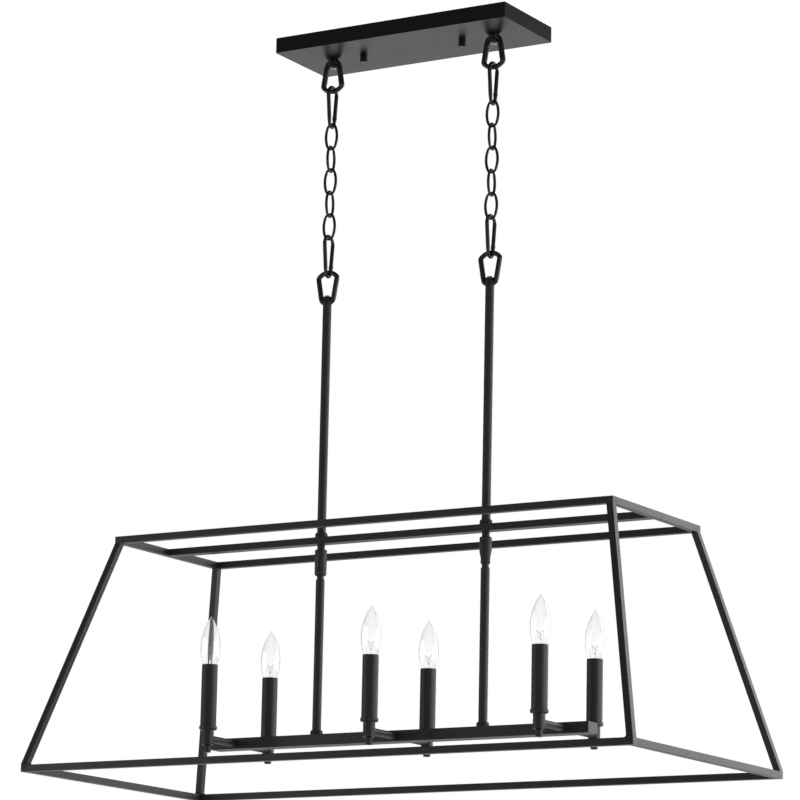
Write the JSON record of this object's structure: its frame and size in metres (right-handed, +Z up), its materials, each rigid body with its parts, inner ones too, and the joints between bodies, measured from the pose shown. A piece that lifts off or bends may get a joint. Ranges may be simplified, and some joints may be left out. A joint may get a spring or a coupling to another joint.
{
  "type": "linear island pendant",
  "caption": "Linear island pendant with an open tapered cage of square bar, candle lamps on a bar inside it, two stems, two chains and a flat rectangular canopy.",
  "frame": {"origin": "on the ceiling plane, at the middle of the mounting crossbar's upper face, where the junction box is", "axes": "+Z up out of the ceiling side of the part, +X along the canopy and the cage's long sides, -Y towards the long side with the set screws"},
  "size_m": [1.092, 0.506, 1.2141],
  "materials": {
    "black_metal": "satin powder coat",
    "black_sleeve": "matte",
    "socket_phenolic": "moulded",
    "zinc_steel": "zinc plated",
    "lamp_base_metal": "plated, polished",
    "clear_glass": "clear"
  },
  "bodies": {
    "ceiling_mount": {"mounting_crossbar": "zinc_steel", "crossbar_studs": "zinc_steel", "canopy_pan": "black_metal", "canopy_nuts": "black_metal", "canopy_loop_left": "black_metal", "canopy_loop_right": "black_metal", "loop_lock_nuts": "zinc_steel"},
    "connector_upper_left": {"connector_upper_left": "black_metal"},
    "chain_left": {"link_1_left": "black_metal", "link_2_left": "black_metal", "link_3_left": "black_metal", "link_4_left": "black_metal", "link_5_left": "black_metal"},
    "connector_lower_left": {"connector_lower_left": "black_metal"},
    "connector_upper_right": {"connector_upper_right": "black_metal"},
    "chain_right": {"link_1_right": "black_metal", "link_2_right": "black_metal", "link_3_right": "black_metal", "link_4_right": "black_metal", "link_5_right": "black_metal"},
    "connector_lower_right": {"connector_lower_right": "black_metal"},
    "cage": {"arm_ring_nuts": "black_metal", "bottom_rail_back": "black_metal", "bottom_rail_front": "black_metal", "bottom_rail_left": "black_metal", "bottom_rail_right": "black_metal", "bulb_bases": "lamp_base_metal", "bulb_glass_1": "clear_glass", "bulb_glass_2": "clear_glass", "bulb_glass_3": "clear_glass", "bulb_glass_4": "clear_glass", "bulb_glass_5": "clear_glass", "bulb_glass_6": "clear_glass", "candle_arms": "black_metal", "candle_bar": "black_metal", "candle_cups": "black_metal", "candle_sleeves": "black_sleeve", "coupling_set_screws": "zinc_steel", "cup_finials": "black_metal", "lamp_sockets": "socket_phenolic", "leg_back_left": "black_metal", "leg_back_right": "black_metal", "leg_front_left": "black_metal", "leg_front_right": "black_metal", "lower_stem_left": "black_metal", "lower_stem_right": "black_metal", "socket_nipples": "zinc_steel", "stem_collars": "black_metal", "stem_coupling_left": "black_metal", "stem_coupling_right": "black_metal", "stem_loop_left": "black_metal", "stem_loop_right": "black_metal", "top_centre_bar": "black_metal", "top_rail_back": "black_metal", "top_rail_front": "black_metal", "top_rail_left": "black_metal", "top_rail_right": "black_metal", "upper_stem_left": "black_metal", "upper_stem_right": "black_metal"}
  },
  "joints": [
    {"name": "fore_aft_swing", "type": "hinge", "parent": "ceiling_mount", "child": "connector_upper_left", "pos_m": [-0.1524, 0, -0.0793], "axis": [1, 0, 0], "range_deg": [-45, 45]},
    {"name": "side_swing", "type": "hinge", "parent": "connector_upper_left", "child": "chain_left", "pos_m": [-0.1524, 0, -0.1405], "axis": [0, 1, 0], "range_deg": [-24, 24]},
    {"name": "connector_lower_left_level", "type": "hinge", "parent": "chain_left", "child": "connector_lower_left", "pos_m": [-0.1524, 0, -0.3258], "axis": [0, 1, 0], "range_deg": [-24, 24]},
    {"name": "fore_aft_swing_right", "type": "hinge", "parent": "ceiling_mount", "child": "connector_upper_right", "pos_m": [0.1524, 0, -0.0793], "axis": [1, 0, 0], "range_deg": [-45, 45]},
    {"name": "side_swing_right", "type": "hinge", "parent": "connector_upper_right", "child": "chain_right", "pos_m": [0.1524, 0, -0.1405], "axis": [0, 1, 0], "range_deg": [-24, 24]},
    {"name": "connector_lower_right_level", "type": "hinge", "parent": "chain_right", "child": "connector_lower_right", "pos_m": [0.1524, 0, -0.3258], "axis": [0, 1, 0], "range_deg": [-24, 24]},
    {"name": "cage_tilt", "type": "hinge", "parent": "connector_lower_left", "child": "cage", "pos_m": [-0.1524, 0, -0.387], "axis": [1, 0, 0], "range_deg": [-30, 30]}
  ],
  "couplings": [
    {"joint": "connector_lower_left_level", "follows": "side_swing", "ratio": -1},
    {"joint": "fore_aft_swing_right", "follows": "fore_aft_swing", "ratio": 1},
    {"joint": "side_swing_right", "follows": "side_swing", "ratio": 1},
    {"joint": "connector_lower_right_level", "follows": "side_swing", "ratio": -1}
  ]
}
